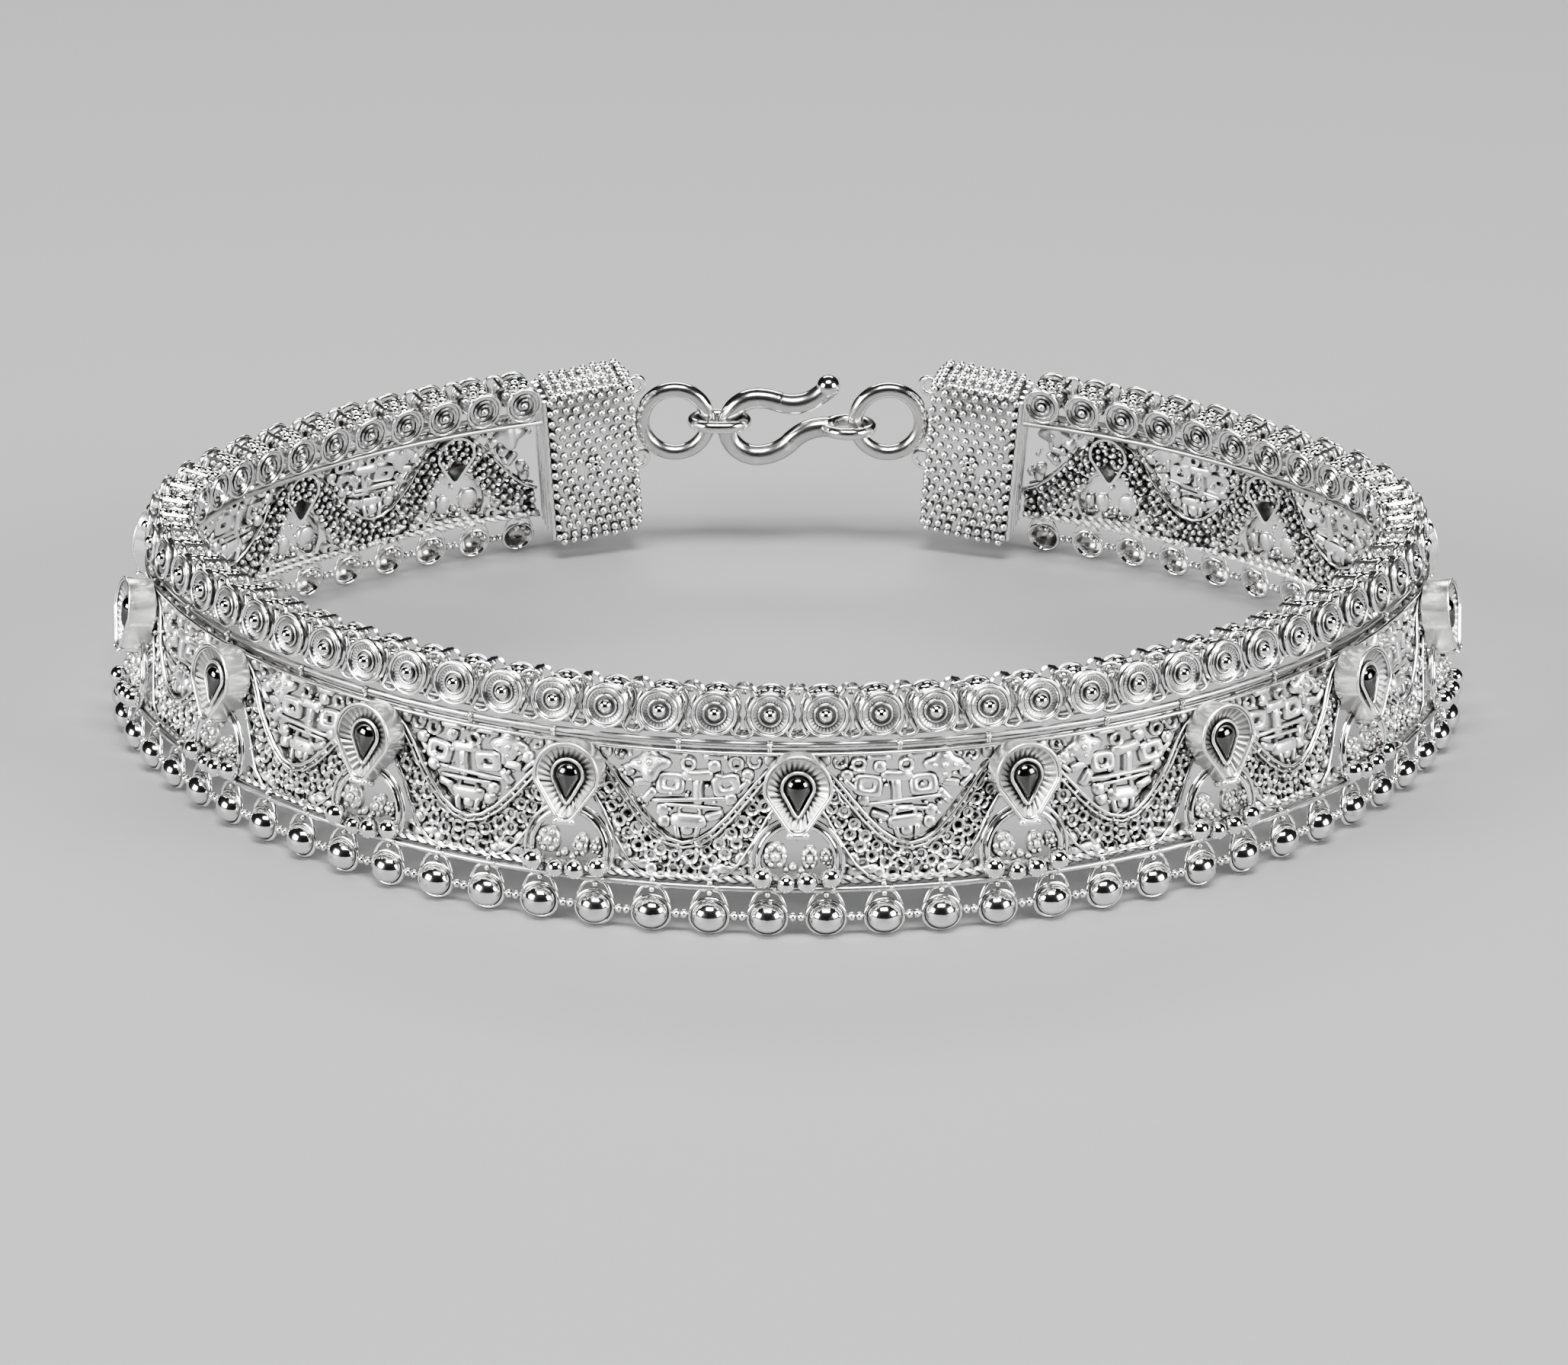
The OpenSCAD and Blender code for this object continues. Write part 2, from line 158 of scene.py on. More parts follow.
def skin(rings, closed=False):
    """Quads over a row of rings, each with the same even number of points."""
    rings = np.asarray(rings, float)
    n, m = rings.shape[:2]
    i = np.arange(n if closed else n - 1)[:, None]
    k = np.arange(m)[None, :]
    low, high, step = i * m, (i + 1) % n * m, (k + 1) % m
    quads = [np.stack([low + k, low + step, high + step, high + k], -1).reshape(-1, 4)]
    if not closed:
        k = np.arange(m // 2 - 1)
        cap = np.stack([k, k + 1, m - 2 - k, m - 1 - k], -1)
        quads += [cap[:, ::-1], cap + (n - 1) * m]
    return rings.reshape(-1, 3), np.concatenate(quads)


def lathe(profile, steps, closed=False):
    """Turns a profile of (radius, out) about the axis that points out of the wall."""
    a = np.arange(steps) * 2 * pi / steps
    rings = [np.stack([r * np.cos(a), r * np.sin(a), np.full(steps, float(out))], -1) for r, out in profile]
    return skin(rings, closed=closed)


def ball(r, steps, rings):
    a = np.linspace(-0.47, 0.47, rings + 1) * pi
    return lathe([(r * cos(b), r * sin(b)) for b in a], steps)


def ring(r, wire, steps, sides):
    a = np.arange(sides) * 2 * pi / sides
    return lathe([(r + wire * cos(b), wire * sin(b)) for b in a], steps, closed=True)


def tube(path, r, sides=6, closed=False, across=(0, 0, 1)):
    """A round wire along a path, as thick as r says at each point."""
    path = np.asarray(path, float)
    way = np.roll(path, -1, 0) - np.roll(path, 1, 0) if closed else np.gradient(path, axis=0)
    way /= np.linalg.norm(way, axis=1, keepdims=True)
    across = np.asarray(across, float)
    side = across - (way @ across)[:, None] * way
    side /= np.linalg.norm(side, axis=1, keepdims=True)
    other = np.cross(way, side)
    a = np.arange(sides)[None, :, None] * 2 * pi / sides
    r = np.broadcast_to(r, len(path))[:, None, None]
    rings = path[:, None] + r * (np.cos(a) * side[:, None] + np.sin(a) * other[:, None])
    return skin(rings, closed=closed)


def soft_path(points, count):
    """A soft curve through a few given points."""
    points = np.asarray(points, float)
    steps = np.linalg.norm(np.diff(points, axis=0), axis=1)
    at = np.concatenate([[0], np.cumsum(steps)])
    slope = np.gradient(points, at, axis=0)
    where = np.linspace(0, at[-1], count)
    i = np.clip(np.searchsorted(at, where, side="right") - 1, 0, len(steps) - 1)
    w = steps[i][:, None]
    x = (where - at[i])[:, None] / w
    start = (2 * x ** 3 - 3 * x ** 2 + 1) * points[i] + (x ** 3 - 2 * x ** 2 + x) * w * slope[i]
    return start + (3 * x ** 2 - 2 * x ** 3) * points[i + 1] + (x ** 3 - x ** 2) * w * slope[i + 1]


def piece(name, shape, material, slot, *nodes):
    """Makes a joined mesh ride on the anklet, in place of its CAD nodes."""
    mesh = bpy.data.meshes.new(name)
    mesh.from_pydata((shape[0] * MM).tolist(), [], shape[1].tolist())
    mesh.polygons.foreach_set("use_smooth", [True] * len(mesh.polygons))
    mesh.set_sharp_from_angle(angle=radians(75))
    mesh.materials.append(material)
    obj = bpy.data.objects.new(name, mesh)
    bpy.context.scene.collection.objects.link(obj)
    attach(obj, "root")
    if nodes:
        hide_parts(*nodes)


def painted_shade_and_highlight():
    """Silver kept bright on its edges as a painted highlight, greyer on its flats and dark in its hollows
    as painted shade.
    """
    group = bpy.data.node_groups.new("painted_shade_and_highlight", "ShaderNodeTree")
    inputs = (("Clean", "NodeSocketColor", (0.9, 0.9, 0.9, 1)),
              ("Painted Shade", "NodeSocketColor", (0.2, 0.2, 0.2, 1)),
              ("Reach", "NodeSocketFloat", 0.0006),
              ("Roughness", "NodeSocketFloat", 0.2),
              ("Grain Scale", "NodeSocketFloat", 4000.0))
    for name, kind, value in inputs:
        socket = group.interface.new_socket(name, in_out="INPUT", socket_type=kind)
        socket.default_value = value
    group.interface.new_socket("Color", in_out="OUTPUT", socket_type="NodeSocketColor")
    group.interface.new_socket("Roughness", in_out="OUTPUT", socket_type="NodeSocketFloat")
    group.interface.new_socket("Height", in_out="OUTPUT", socket_type="NodeSocketFloat")
    nodes, links = group.nodes, group.links
    given = nodes.new("NodeGroupInput")
    result = nodes.new("NodeGroupOutput")
    place = nodes.new("ShaderNodeTexCoord")

    # Painted shade: ambient occlusion darkens the colour in hollows and between parts, where shade falls.
    hollow = nodes.new("ShaderNodeAmbientOcclusion")
    hollow.samples = 5
    links.new(given.outputs["Reach"], hollow.inputs["Distance"])
    hollow_shade_mask = nodes.new("ShaderNodeMapRange")
    hollow_shade_mask.interpolation_type = "SMOOTHSTEP"
    hollow_shade_mask.inputs["From Min"].default_value = 0.22
    hollow_shade_mask.inputs["From Max"].default_value = 0.9
    links.new(hollow.outputs["AO"], hollow_shade_mask.inputs["Value"])

    cloud = nodes.new("ShaderNodeTexNoise")
    cloud.inputs["Scale"].default_value = 420
    cloud.inputs["Detail"].default_value = 3
    links.new(place.outputs["Object"], cloud.inputs["Vector"])
    patch = nodes.new("ShaderNodeMapRange")
    patch.inputs["From Min"].default_value = 0.35
    patch.inputs["From Max"].default_value = 0.7
    patch.inputs["To Min"].default_value = 1.0
    patch.inputs["To Max"].default_value = 0.88
    links.new(cloud.outputs["Fac"], patch.inputs["Value"])
    # Painted highlight: convex edges, found by pointiness, keep the bright colour while flats and creases
    # are painted greyer, as light catches edges.
    geometry = nodes.new("ShaderNodeNewGeometry")
    edge_highlight_mask = nodes.new("ShaderNodeMapRange")
    edge_highlight_mask.interpolation_type = "SMOOTHSTEP"
    edge_highlight_mask.inputs["From Min"].default_value = 0.48
    edge_highlight_mask.inputs["From Max"].default_value = 0.56
    edge_highlight_mask.inputs["To Min"].default_value = 0.45
    edge_highlight_mask.inputs["To Max"].default_value = 1.0
    links.new(geometry.outputs["Pointiness"], edge_highlight_mask.inputs["Value"])
    edge_highlight_and_patches = nodes.new("ShaderNodeMath")
    edge_highlight_and_patches.operation = "MULTIPLY"
    links.new(edge_highlight_mask.outputs["Result"], edge_highlight_and_patches.inputs[0])
    links.new(patch.outputs["Result"], edge_highlight_and_patches.inputs[1])
    shine = nodes.new("ShaderNodeMath")
    shine.operation = "MULTIPLY"
    links.new(hollow_shade_mask.outputs["Result"], shine.inputs[0])
    links.new(edge_highlight_and_patches.outputs[0], shine.inputs[1])
    colour = nodes.new("ShaderNodeMix")
    colour.data_type = "RGBA"
    links.new(shine.outputs[0], colour.inputs[0])
    links.new(given.outputs["Painted Shade"], colour.inputs[6])
    links.new(given.outputs["Clean"], colour.inputs[7])
    links.new(colour.outputs[2], result.inputs["Color"])

    dull = nodes.new("ShaderNodeMapRange")
    dull.inputs["To Min"].default_value = 0.3
    dull.inputs["To Max"].default_value = 0.0
    links.new(shine.outputs[0], dull.inputs["Value"])
    rough = nodes.new("ShaderNodeMath")
    rough.operation = "ADD"
    links.new(dull.outputs["Result"], rough.inputs[0])
    links.new(given.outputs["Roughness"], rough.inputs[1])
    links.new(rough.outputs[0], result.inputs["Roughness"])

    grain = nodes.new("ShaderNodeTexNoise")
    grain.inputs["Detail"].default_value = 2
    links.new(place.outputs["Object"], grain.inputs["Vector"])
    links.new(given.outputs["Grain Scale"], grain.inputs["Scale"])
    links.new(grain.outputs["Fac"], result.inputs["Height"])
    return group


PAINTED_SHADE_AND_HIGHLIGHT = painted_shade_and_highlight()


def silver(name, clean, painted_shade, roughness, reach, grain_scale, relief):
    """One finish: its clean grey and the grey of painted shade in its hollows, its gloss, and how rough its
    skin is.
    """
    material = bpy.data.materials.new(name)
    material.use_nodes = True
    nodes, links = material.node_tree.nodes, material.node_tree.links
    shader = nodes["Principled BSDF"]
    shader.inputs["Metallic"].default_value = 1.0
    # Painted shade darkens the base colour in hollows, and a painted highlight keeps edges bright.
    painted_light = nodes.new("ShaderNodeGroup")
    painted_light.node_tree = PAINTED_SHADE_AND_HIGHLIGHT
    painted_light.inputs["Clean"].default_value = (clean, clean * 0.995, clean * 0.985, 1)
    painted_light.inputs["Painted Shade"].default_value = (painted_shade, painted_shade * 0.98, painted_shade * 0.95, 1)
    painted_light.inputs["Reach"].default_value = reach * MM
    painted_light.inputs["Roughness"].default_value = roughness
    painted_light.inputs["Grain Scale"].default_value = grain_scale
    links.new(painted_light.outputs["Color"], shader.inputs["Base Color"])
    links.new(painted_light.outputs["Roughness"], shader.inputs["Roughness"])
    bump = nodes.new("ShaderNodeBump")
    bump.inputs["Strength"].default_value = relief
    bump.inputs["Distance"].default_value = 0.02 * MM
    links.new(painted_light.outputs["Height"], bump.inputs["Height"])
    links.new(bump.outputs["Normal"], shader.inputs["Normal"])
    return material


# Each finish's second grey is the colour painted into its hollows as shade.
polished = silver("polished_sheet", clean=0.9, painted_shade=0.16, roughness=0.06,
                  reach=0.6, grain_scale=900, relief=0.1)
drawn_wire = silver("drawn_wire", clean=0.86, painted_shade=0.03, roughness=0.16,
                    reach=0.7, grain_scale=3000, relief=0.2)

BEAD_UP = 0.9
BEAD_DROP = -0.14
dome_outside = [(1.2 * cos(a), 0.08 + 0.98 * sin(a)) for a in np.radians([0, 14, 28, 44, 60, 75, 88])]
dome_inside = [(1.06 * cos(a), 0.08 + 0.84 * sin(a)) for a in np.radians([88, 60, 30, 0])]
dome = lathe(dome_inside + [(1.22, -0.06)] + dome_outside, 24)
bead_rim = ring(BEAD_RIM_R - BEAD_RIM_WIRE, BEAD_RIM_WIRE, 28, 6)
bead = moved(stretched(joined(dome, bead_rim), up=BEAD_UP), up=BEAD_DROP)
bead_joint = joined(moved(ball(0.33, 8, 5), along=-0.27), moved(ball(0.33, 8, 5), along=0.27),
                    tube([(-0.6, 0, 0), (0, 0, 0), (0.6, 0, 0)], 0.13))
BACK_GRAINS = ((-0.75, 0.35), (-0.35, 0.75), (0.2, 0.8))
bead_back = joined(*[moved(ball(0.3, 6, 4), x, y, -0.12) for x, y in BACK_GRAINS])
bead_places = (np.arange(BEADS) + 0.5) * PITCH - BAND_HALF
gap_places = np.arange(1, BEADS) * PITCH - BAND_HALF
bead_edge = standing(joined(bead, bead_back), bead_places, 0, 0)
piece("bead_edge", bead_edge, polished, "polished_silver", "bead_border")

shoulder_line = [(-1.2, 0.62, 0), (-1.02, 1.1, 0.02), (-0.62, 1.62, 0), (0, 1.66, 0),
                 (0.62, 1.62, 0), (1.02, 1.1, 0.02), (1.2, 0.62, 0)]
shoulder = joined(tube(soft_path(shoulder_line, 13), 0.13, 6),
                  moved(ball(0.22, 8, 4), up=1.5, out=0.12), moved(ball(0.17, 8, 4), 0.5, 1.9, 0.16))
shoulders = joined(standing(shoulder, bead_places, 0, 0),
                   standing(bead_joint, gap_places, BEAD_DROP + 0.05, 0.05))
piece("bead_shoulders", shoulders, drawn_wire, "polished_silver")

# Filigree field
# The openwork between the rails: a wave of chain and eyelets between plain
# border wires, which crests behind each drop, backed with grains. Above its
# troughs, small plates, rings and florets are soldered into a lattice.
FIELD_BACK = -1.2
FIELD_FRONT = -0.3
WAVE_CREST = 11.25
WAVE_TROUGH = 5.0
WAVE_H = 2.6
WAVE_SWELL = 2.1
ROW_END = 0.55
ROW_MARGIN = 0.3
ROW_MARGINS = 0.95
EYELET_OUT = -0.72
GRAIN_OUT = -0.3
chance = np.random.default_rng(7)


def wave_top(u):
    return WAVE_TROUGH + (WAVE_CREST - WAVE_TROUGH) * (1 - np.cos(2 * pi * (u + BAND_HALF) / MODULE_W)) / 2


def wave_low(u):
    return wave_top(u) - WAVE_H - WAVE_SWELL * np.sin(2 * pi * (u + BAND_HALF) / MODULE_W) ** 2


def wave_rise(u):
    """How far the wave comes forward: it lies back behind each drop."""
    x = (u + BAND_HALF) % MODULE_W - MODULE_W / 2
    return np.clip((np.abs(x) - 2.5) / 1.6, 0, 1)


def wave_row(part, pitch):
    """Evenly spaced places along one row of the wave, with its slope there."""
    u = np.linspace(-BAND_HALF + ROW_END, BAND_HALF - ROW_END, 64 * MODULES)
    v = wave_low(u) + ROW_MARGIN + part * (wave_top(u) - wave_low(u) - ROW_MARGINS)
    length = np.concatenate([[0], np.cumsum(np.hypot(np.diff(u), np.diff(v)))])
    at = np.arange(pitch / 2, length[-1], pitch)
    slope = np.arctan2(np.gradient(v), np.gradient(u))
    return np.interp(at, length, u), np.interp(at, length, v), np.interp(at, length, slope)


braid = silver("braided_wire", clean=0.95, painted_shade=0.015, roughness=0.25,
               reach=0.6, grain_scale=3200, relief=0.3)
eyelet = stretched(ring(0.39, 0.2, 12, 5), out=1.7)
long_eyelet = stretched(ring(0.38, 0.18, 12, 5), along=1.4, up=0.88, out=1.9)
grain = ball(0.2, 6, 3)
# The rows of eyelets: how far up the wave each lies, its shape and its pitch
LINK_ROWS = ((0.1, eyelet, 1.12), (0.4, eyelet, 1.1), (0.7, eyelet, 1.12), (1.0, long_eyelet, 1.3))
links_made, grains_made = [], []
for part, shape, pitch in LINK_ROWS:
    u, v, slope = wave_row(part, pitch)
    n = len(u)
    lean = slope + 0.15 * chance.standard_normal(n)
    lift = 0.12 * wave_rise(u) + 0.06 * chance.standard_normal(n)
    size = 1 + 0.06 * chance.standard_normal(n)
    links_made.append(standing(shape, u, v, EYELET_OUT + lift, lean, size))
    off = chance.uniform(-0.35, 0.35, n)
    x = u + pitch / 2 * np.cos(slope) - off * np.sin(slope)
    y = v + pitch / 2 * np.sin(slope) + off * np.cos(slope)
    grains_made.append(standing(grain, x, y, GRAIN_OUT + lift, 0, 0.75 + 0.3 * chance.random(n)))
piece("wave_chains", joined(*links_made), braid, "filigree_silver", "filigree_field")
for part in (0.02, 0.35, 0.68, 1.0):
    u, v, slope = wave_row(part, 0.76)
    size = 1.3 + 0.16 * chance.standard_normal(len(u))
    v = v + 0.06 * chance.standard_normal(len(u))
    grains_made.append(standing(grain, u, v, FIELD_BACK + 0.08 * chance.standard_normal(len(u)), 0, size))
piece("wave_grains", joined(*grains_made), braid, "filigree_silver")


def wave_wire(edge, inward, wire, front):
    """A plain wire along one edge of the wave, moved in across it."""
    u = np.linspace(-BAND_HALF + 0.35, BAND_HALF - 0.35, 16 * MODULES + 1)
    v = edge(u)
    du, dv = np.gradient(u), np.gradient(v)
    long = np.hypot(du, dv)
    out = FIELD_FRONT + (front - FIELD_FRONT) * wave_rise(u)
    path = np.stack([u + inward * dv / long, v - inward * du / long, out], -1)
    return bent(tube(path, wire, 6))


def level_wire(v, out, wire):
    u = np.linspace(-BAND_HALF + 0.3, BAND_HALF - 0.3, 16 * MODULES + 1)
    return bent(tube(np.stack([u, np.full_like(u, v), np.full_like(u, out)], -1), wire, 6))


def rope(v, out, wire, lay):
    """Two wires twisted together."""
    u = np.linspace(-BAND_HALF + 0.3, BAND_HALF - 0.3, int(2 * BAND_HALF / lay * 6))
    turn = 2 * pi * u / lay
    strands = []
    for side in (0, pi):
        path = np.stack([u, v + wire * np.cos(turn + side), out + wire * np.sin(turn + side)], -1)
        strands.append(bent(tube(path, wire * 1.05, 4)))
    return joined(*strands)


borders = [wave_wire(wave_top, 0.12, 0.12, 0.0), wave_wire(wave_top, 0.5, 0.09, -0.08),
           wave_wire(wave_low, -0.1, 0.11, -0.05), wave_wire(wave_top, 0.15, 0.15, -1.0),
           wave_wire(wave_low, -0.12, 0.14, -1.0)]
bridge = joined(tube([(0, -0.16, 0), (0, 0, 0), (0, 0.16, 0)], 0.09, 4), ball(0.11, 6, 3))
u, v, slope = wave_row(1.0, 1.25)
high = wave_top(u) - 0.31 / np.cos(slope)
borders.append(standing(bridge, u, high, -0.28 + 0.28 * wave_rise(u), slope))
# The level wires over the lattice: height on the wall, place out of it, thickness
TOP_WIRES = ((11.25, -0.14, 0.14), (11.2, -1.05, 0.17))
borders += [level_wire(v, out, wire) for v, out, wire in TOP_WIRES]
piece("border_wires", joined(*borders), drawn_wire, "filigree_silver")
ROPE_V = 2.42
ROPE_WIRE = 0.17
ropes = joined(rope(ROPE_V, -0.2, ROPE_WIRE, 1.7), rope(ROPE_V, -1.0, ROPE_WIRE, 1.9))
piece("lower_rope", ropes, braid, "filigree_silver")


def outline(w, h, squareness, count, waves=0.0):
    """A closed line from an ellipse to nearly a rectangle, or with four lobes."""
    a = np.arange(count) * 2 * pi / count
    c, s = np.cos(a), np.sin(a)
    lobe = 1 + waves * np.cos(4 * a)
    x = w / 2 * np.sign(c) * np.abs(c) ** squareness * lobe
    return np.stack([x, h / 2 * np.sign(s) * np.abs(s) ** squareness * lobe], -1)


def level(line, out):
    return np.concatenate([line, np.full((len(line), 1), float(out))], 1)


PLATE_D = 0.75


def plate(w, h, hole_w=0.0, hole_h=0.0, squareness=0.45, waves=0.0, count=14):
    """A small cast plate with a crowned face, solid or with a hole."""
    full = outline(w, h, squareness, count, waves)
    d = PLATE_D / 2
    if not hole_w:
        return skin([level(full * 0.85, -d), level(full, 0.12 - d), level(full, d - 0.3),
                     level(full * 0.86, d - 0.1), level(full * 0.5, d)])
    hole = outline(hole_w, hole_h, 0.7, count)
    return skin([level(hole, -d), level(full * 0.9, -d), level(full, d - 0.3), level(full * 0.86, d - 0.08),
                 level((full + hole) / 2, d), level(hole, d - 0.16)], closed=True)


def bracket(w, h, wire):
    points = [(-w / 2, -h / 2, 0), (-w / 2, h / 4, 0), (-w / 3, h / 2, 0),
              (w / 3, h / 2, 0), (w / 2, h / 4, 0), (w / 2, -h / 2, 0)]
    return stretched(tube(points, wire, 6), out=1.7)


def curl(r, wire):
    a = np.linspace(-0.6, 4.6, 9)
    radius = r * (1 - 0.12 * a)
    path = np.stack([radius * np.cos(a), radius * np.sin(a), np.zeros(9)], -1)
    return stretched(tube(path, wire, 6), out=1.7)


def floret(size):
    """Four petals in a cross, with a grain between each two and one on top."""
    petals = plate(2.2 * size, 1.9 * size, squareness=1.0, waves=0.22, count=24)
    grains = [moved(ball(0.2, 6, 4), 0.62 * size * cos(a), 0.55 * size * sin(a), PLATE_D / 2)
              for a in np.radians([0, 90, 180, 270])]
    return joined(petals, *grains, moved(ball(0.28, 8, 5), out=PLATE_D / 2))


def bow(w, h):
    """Two lobes and a narrow waist, like a little dumb-bell."""
    a = np.arange(20) * 2 * pi / 20
    x = w / 2 * np.cos(a)
    y = h / 2 * np.sin(a) * (0.62 + 0.75 * np.cos(a) ** 2)
    line = np.stack([x, y], -1)
    d = PLATE_D / 2
    return skin([level(line * 0.86, -d), level(line, 0.12 - d), level(line, d - 0.3),
                 level(line * 0.84, d - 0.08), level(line * 0.5, d)])


lattice_kinds = {
    "floret": floret(1.15), "eye": plate(2.15, 1.6, 0.7, 0.45), "bar": plate(1.8, 0.5, squareness=0.3),
    "short": plate(1.35, 0.65, squareness=0.35), "ring": plate(1.25, 1.2, 0.5, 0.48, squareness=1.0),
    "bow": bow(2.35, 1.15), "arch": bracket(1.4, 0.9, 0.2), "curl": curl(0.58, 0.2),
    "stud": plate(0.95, 1.0, squareness=0.75, count=12), "post": plate(0.4, 1.3, squareness=0.3, count=12),
    "wide": plate(2.6, 1.1, squareness=0.5), "rod": plate(4.2, 0.3, squareness=0.3, count=12),
    "long": plate(5.6, 0.32, squareness=0.3, count=12)}
# Each lattice piece: its shape, its place from the trough's middle, its height
# on the wall and its turn. The corner pieces count from the drop's middle.
LATTICE = (("curl", -4.75, 10.65, 0.4), ("floret", -2.65, 10.15, 0.1), ("bar", -0.85, 10.95, 0.0),
           ("ring", 0.15, 10.3, 0.0), ("bar", 2.1, 10.9, 0.0), ("stud", 2.05, 10.25, 0.3),
           ("ring", 3.6, 10.45, 0.0), ("curl", 5.0, 10.65, 2.6), ("stud", -5.95, 10.75, 0.0),
           ("stud", 6.05, 10.8, 0.0), ("bow", 0.85, 9.55, 0.0), ("eye", -1.1, 8.85, 0.03),
           ("eye", 2.95, 8.95, 0.1), ("stud", 4.45, 9.65, 0.0), ("short", -3.1, 8.85, 0.2),
           ("stud", -4.15, 9.6, 0.2), ("post", -2.35, 9.4, 0.0), ("post", 4.2, 9.0, -0.8),
           ("bow", 0.9, 8.45, 1.5), ("post", -4.3, 8.95, 0.8), ("long", 0.3, 7.82, 0.0),
           ("rod", 0.55, 7.35, 0.03), ("short", -2.6, 7.95, 0.9), ("stud", 3.3, 7.95, 0.3),
           ("stud", -1.6, 7.0, 0.2), ("arch", 0.35, 6.95, 0.0), ("wide", 0.3, 6.35, 0.0),
           ("short", 2.15, 6.8, 0.35), ("stud", -1.45, 6.2, 0.0), ("post", -0.5, 5.6, 0.15),
           ("post", 0.95, 5.6, -0.2), ("stud", 0.2, 5.75, 0.0))
CORNERS = (("bow", 4.6, 3.0, 0.15), ("ring", 3.4, 3.0, 0.0),
           ("stud", 5.75, 2.8, 0.2), ("stud", 3.9, 3.85, 0.5))
LATTICE_END = 1.1
lattice = []
for m in range(MODULES + 1):
    flip = 1 if m % 2 else -1
    for kind, x, v, spin in LATTICE:
        u = m * MODULE_W - BAND_HALF + flip * x
        if abs(u) < BAND_HALF - LATTICE_END:
            tilt = flip * spin + 0.06 * chance.standard_normal()
            out = -0.62 + 0.05 * chance.standard_normal()
            shape = leaned(stretched(lattice_kinds[kind], along=flip), 0.16 * chance.standard_normal())
            lattice.append(standing(shape, u, v, out, tilt))
    for kind, x, v, spin in CORNERS:
        for side in (-1, 1):
            u = (m + 0.5) * MODULE_W - BAND_HALF + side * x
            if abs(u) < BAND_HALF - LATTICE_END:
                lattice.append(standing(lattice_kinds[kind], u, v, -0.55, side * spin))
hammered = silver("hammered_plate", clean=0.95, painted_shade=0.015, roughness=0.28,
                  reach=0.9, grain_scale=4500, relief=0.6)
piece("lattice", joined(*lattice), hammered, "filigree_silver")

LATTICE_TOP = 10.9
GRAIN_SETS = 22
lattice_grains = []
for _ in range(GRAIN_SETS):
    x = chance.uniform(-5, 5, MODULES + 1)
    u = np.arange(MODULES + 1) * MODULE_W - BAND_HALF + x
    low = wave_top(u) + 0.25
    v = low + (LATTICE_TOP - low) * chance.random(MODULES + 1)
    inside = (np.abs(u) < BAND_HALF - 0.6) & (low < LATTICE_TOP)
    for out, size in ((-0.25, 0.8), (-1.0, 1.35)):
        lattice_grains.append(standing(grain, u[inside], v[inside], out, 0, size))
piece("lattice_grains", joined(*lattice_grains), braid, "filigree_silver")

# Rails
# Drawn wires soldered along the openwork: one above the beads and one under
# each face of the rosettes. They run into the end boxes.
for node in ("lower_rail", "upper_rail", "inner_rail"):
    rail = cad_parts[node]
    rail.data.materials.clear()
    rail.data.materials.append(drawn_wire)

# Rosette edge
# Sixty short drums with a rosette soldered on both faces: outside a milled
# plate in two rim wires with a ball in a ring, inside a coiled wire with a
# grain. Oval rings with keyhole plates join each drum to the next.
ROSETTE_V = 14
ROSETTE_R = 1.58
ROSETTE_D = 3.4
ROSETTE_OUT = -1.5
FACE = ROSETTE_D / 2
MILLED = 28
ridge_angle = np.arange(2 * MILLED) * pi / MILLED
ridge = np.where(np.arange(2 * MILLED) % 2, 0.08, -0.06)
# The milled plate's lines: radius, depth under the drum's face, and whether it is milled
PLATE_LINES = ((1.26, 0.3, 0), (1.26, 0.12, 0), (1.18, 0.16, 1),
               (0.92, 0.27, 1), (0.86, 0.28, 0), (0.3, 0.36, 0))
milled_plate = []
for r, depth, cut in PLATE_LINES:
    x, y = r * np.cos(ridge_angle), r * np.sin(ridge_angle)
    milled_plate.append(np.stack([x, y, FACE - depth + cut * ridge], -1))
face_front = joined(skin(milled_plate), moved(ring(ROSETTE_R - 0.13, 0.13, 26, 5), out=FACE - 0.12),
                    moved(ring(1.24, 0.06, 24, 4), out=FACE - 0.08),
                    moved(ring(0.76, 0.1, 20, 5), out=FACE - 0.2))


def coil(r, turns, wire):
    a = np.linspace(0.8, turns * 2 * pi, 11 * turns)
    radius = r * a / a[-1]
    path = np.stack([radius * np.cos(a), radius * np.sin(a), np.full_like(a, 0.14 - FACE)], -1)
    return tube(path, wire, 4)


drum = lathe([(0.3, 0.3 - FACE), (1.3, 0.2 - FACE), (1.2, 0.5 - FACE), (1.2, FACE - 0.5),
              (1.3, FACE - 0.2), (0.3, FACE - 0.34)], 20)
face_back = joined(moved(ring(ROSETTE_R - 0.13, 0.13, 26, 5), out=0.13 - FACE), coil(1.2, 3, 0.12),
                   moved(ball(0.34, 8, 5), out=0.08 - FACE), moved(ring(1.44, 0.12, 22, 4), out=1.05))
top_grain = ball(0.47, 8, 4)
drum_grains = [moved(top_grain, 1.1 * cos(a), 1.1 * sin(a), out)
               for out, angles in ((-1.05, (46, 90, 134)), (-0.2, (22, 68, 112, 158)), (0.6, (46, 90, 134)))
               for a in np.radians(angles)]
drum_grains.append(moved(ball(0.52, 12, 7), out=FACE - 0.1))
rosettes = (bead_places, ROSETTE_V, ROSETTE_OUT)
milled = silver("milled_sheet", clean=0.96, painted_shade=0.015, roughness=0.17,
                reach=0.5, grain_scale=2500, relief=0.15)
piece("rosette_faces", standing(face_front, *rosettes), milled, "filigree_silver", "rosette_border")
piece("rosette_drums", standing(joined(drum, face_back), *rosettes), milled, "filigree_silver")
piece("drum_grains", standing(joined(*drum_grains), *rosettes), polished, "polished_silver")


def oval(half_w, half_h, wire, out, steps=20, sides=5):
    line = outline(2 * half_w, 2 * half_h, 0.8, steps)
    return tube(level(line, out), wire, sides, closed=True)


